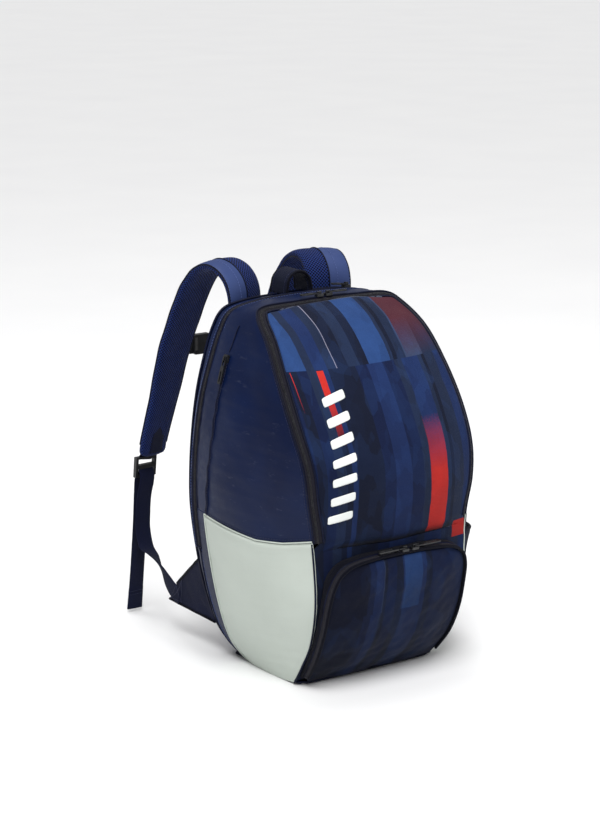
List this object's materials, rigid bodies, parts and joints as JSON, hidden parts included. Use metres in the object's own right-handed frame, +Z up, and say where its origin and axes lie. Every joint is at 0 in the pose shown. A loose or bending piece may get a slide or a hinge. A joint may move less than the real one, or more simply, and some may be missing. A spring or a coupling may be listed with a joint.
{
  "type": "racket backpack",
  "caption": "Tall backpack with a curved zip-open front panel, front pocket, rear racket compartment, padded shoulder straps and a grab handle.",
  "frame": {"origin": "centre of the flat base, on the surface the bag stands on", "axes": "+Z up, the front face looks towards -Y, the back and shoulder straps are towards +Y"},
  "size_m": [0.3619, 0.4713, 0.5262],
  "materials": {
    "pu_navy": "semi-gloss coated fabric",
    "pu_light": "semi-gloss coated fabric",
    "print_fabric": "matt printed woven polyester",
    "binding": "matt woven binding",
    "zip": "woven tape with a nylon coil",
    "black_plastic": "satin moulded plastic",
    "strap_pu": "satin coated fabric over foam",
    "mesh": "spacer mesh over foam",
    "webbing": "matt woven webbing",
    "lining": "matt lining cloth",
    "board": "stiffening board"
  },
  "bodies": {
    "bag": {"base_panel": "binding", "base_board": "board", "top_panel": "pu_navy", "rear_gusset_top": "pu_navy", "strap_yoke": "pu_navy", "front_wall": "print_fabric", "front_zip_bag": "zip", "rear_zip": "zip", "pocket_gusset": "binding", "pocket_floor": "binding", "back_panel": "binding", "back_board": "board", "divider_panel": "lining", "lumbar_pad": "mesh", "bottle_pocket_right": "binding", "grab_handle": "webbing", "side_panel_left": "pu_navy", "lower_panel_left": "pu_light", "rear_gusset_left": "pu_navy", "anchor_wing_left": "pu_navy", "back_pad_left": "mesh", "lower_webbing_left": "webbing", "side_panel_right": "pu_navy", "lower_panel_right": "pu_light", "rear_gusset_right": "pu_navy", "anchor_wing_right": "pu_navy", "back_pad_right": "mesh", "lower_webbing_right": "webbing"},
    "front_panel": {"front_panel": "print_fabric", "front_zip_panel": "zip"},
    "pocket_flap": {"pocket_flap": "print_fabric"},
    "harness": {"shoulder_strap_left": "strap_pu", "shoulder_strap_right": "strap_pu", "ladder_lock_left": "black_plastic", "ladder_lock_right": "black_plastic", "strap_webbing_left": "webbing", "strap_webbing_right": "webbing"},
    "chest_strap": {"sternum_socket": "black_plastic", "sternum_webbing": "webbing", "sternum_clip_left": "black_plastic", "sternum_clip_right": "black_plastic"},
    "chest_plug": {"sternum_plug": "black_plastic"},
    "tail_left": {"webbing_tail_left": "webbing"},
    "tail_right": {"webbing_tail_right": "webbing"},
    "main_left_slider": {"main_left_slider": "black_plastic"},
    "main_left_puller": {"main_left_puller": "black_plastic"},
    "main_right_slider": {"main_right_slider": "black_plastic"},
    "main_right_puller": {"main_right_puller": "black_plastic"},
    "rear_left_slider": {"rear_left_slider": "black_plastic"},
    "rear_left_puller": {"rear_left_puller": "black_plastic"},
    "rear_right_slider": {"rear_right_slider": "black_plastic"},
    "rear_right_puller": {"rear_right_puller": "black_plastic"},
    "pocket_left_slider": {"pocket_left_slider": "black_plastic"},
    "pocket_left_puller": {"pocket_left_puller": "black_plastic"},
    "pocket_right_slider": {"pocket_right_slider": "black_plastic"},
    "pocket_right_puller": {"pocket_right_puller": "black_plastic"},
    "side_slider": {"side_slider": "black_plastic"},
    "side_puller": {"side_puller": "black_plastic"}
  },
  "joints": [
    {"name": "front_panel_fold", "type": "hinge", "parent": "bag", "child": "front_panel", "pos_m": [0, -0.113, 0.21], "axis": [1, 0, 0], "range_deg": [0, 65]},
    {"name": "pocket_flap_fold", "type": "hinge", "parent": "bag", "child": "pocket_flap", "pos_m": [0, -0.064, 0.014], "axis": [1, 0, 0], "range_deg": [0, 55]},
    {"name": "harness_swing", "type": "hinge", "parent": "bag", "child": "harness", "pos_m": [0, 0.139, 0.472], "axis": [1, 0, 0], "range_deg": [0, 12]},
    {"name": "chest_strap_height", "type": "slide", "parent": "harness", "child": "chest_strap", "axis": [0, 0.3401, -0.9404], "range_m": [-0.025, 0.025]},
    {"name": "chest_plug_release", "type": "slide", "parent": "chest_strap", "child": "chest_plug", "axis": [1, 0, 0], "range_m": [0, 0.019]},
    {"name": "tail_left_swing", "type": "hinge", "parent": "harness", "child": "tail_left", "pos_m": [-0.117, 0.323, 0.206], "axis": [1, 0, 0], "range_deg": [0, 25]},
    {"name": "tail_right_swing", "type": "hinge", "parent": "harness", "child": "tail_right", "pos_m": [0.117, 0.323, 0.206], "axis": [1, 0, 0], "range_deg": [0, 25]},
    {"name": "main_left_zip", "type": "slide", "parent": "bag", "child": "main_left_slider", "axis": [-1, 0, 0], "range_m": [0, 0.06]},
    {"name": "main_left_puller_tilt", "type": "hinge", "parent": "main_left_slider", "child": "main_left_puller", "pos_m": [-0.009, 0.0455, 0.49455], "axis": [0, 1, 0], "range_deg": [0, 115]},
    {"name": "main_right_zip", "type": "slide", "parent": "bag", "child": "main_right_slider", "axis": [1, 0, 0], "range_m": [0, 0.06]},
    {"name": "main_right_puller_tilt", "type": "hinge", "parent": "main_right_slider", "child": "main_right_puller", "pos_m": [0.005, 0.0455, 0.49455], "axis": [0, -1, 0], "range_deg": [0, 115]},
    {"name": "rear_left_zip", "type": "slide", "parent": "bag", "child": "rear_left_slider", "axis": [-0.9975, -0.0499, 0.0499], "range_m": [0, 0.07]},
    {"name": "rear_left_puller_tilt", "type": "hinge", "parent": "rear_left_slider", "child": "rear_left_puller", "pos_m": [0.06643, 0.089, 0.49263], "axis": [-0.0985, 0.9951, 0.0098], "range_deg": [0, 115]},
    {"name": "rear_right_zip", "type": "slide", "parent": "bag", "child": "rear_right_slider", "axis": [0.3987, 0, -0.9171], "range_m": [0, 0.04]},
    {"name": "rear_right_puller_tilt", "type": "hinge", "parent": "rear_right_slider", "child": "rear_right_puller", "pos_m": [0.13649, 0.1, 0.44973], "axis": [0, -1, 0], "range_deg": [0, 115]},
    {"name": "pocket_left_zip", "type": "slide", "parent": "pocket_flap", "child": "pocket_left_slider", "axis": [-1, 0, 0], "range_m": [0, 0.06]},
    {"name": "pocket_left_puller_tilt", "type": "hinge", "parent": "pocket_left_slider", "child": "pocket_left_puller", "pos_m": [0.002, -0.12943, 0.18773], "axis": [0, 0.995, 0.0995], "range_deg": [0, 30]},
    {"name": "pocket_right_zip", "type": "slide", "parent": "pocket_flap", "child": "pocket_right_slider", "axis": [1, 0, 0], "range_m": [0, 0.05]},
    {"name": "pocket_right_puller_tilt", "type": "hinge", "parent": "pocket_right_slider", "child": "pocket_right_puller", "pos_m": [0.018, -0.12943, 0.18773], "axis": [0, -0.995, -0.0995], "range_deg": [0, 30]},
    {"name": "side_zip", "type": "slide", "parent": "bag", "child": "side_slider", "axis": [-0.27, 0, -0.9629], "range_m": [0, 0.08]},
    {"name": "side_puller_tilt", "type": "hinge", "parent": "side_slider", "child": "side_puller", "pos_m": [-0.14839, 0.06, 0.42117], "axis": [0, 1, 0], "range_deg": [0, 115]}
  ]
}
